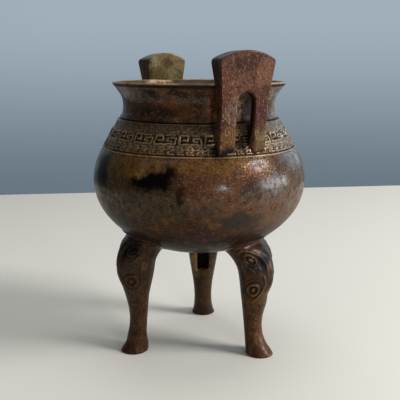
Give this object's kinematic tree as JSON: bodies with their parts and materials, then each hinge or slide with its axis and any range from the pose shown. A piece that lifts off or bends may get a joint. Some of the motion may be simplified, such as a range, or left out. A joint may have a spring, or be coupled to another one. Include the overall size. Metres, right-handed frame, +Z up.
{
  "type": "bronze ding vessel",
  "caption": "Small cast bronze tripod cauldron: round hollow belly, flared lip, upright slotted ears, scroll band on the shoulder and cabriole legs with animal masks.",
  "frame": {"origin": "centre of the vessel on the floor, under its axis of turning", "axes": "+Z up along the vessel's axis; the ears stand on +X and -X; the odd leg points along -Y"},
  "size_m": [0.15, 0.15, 0.21],
  "materials": {
    "bronze": "dark brown patina, mottled olive and red, worn paler on the edges"
  },
  "bodies": {
    "root": {"ding_vessel": "bronze"}
  },
  "joints": []
}
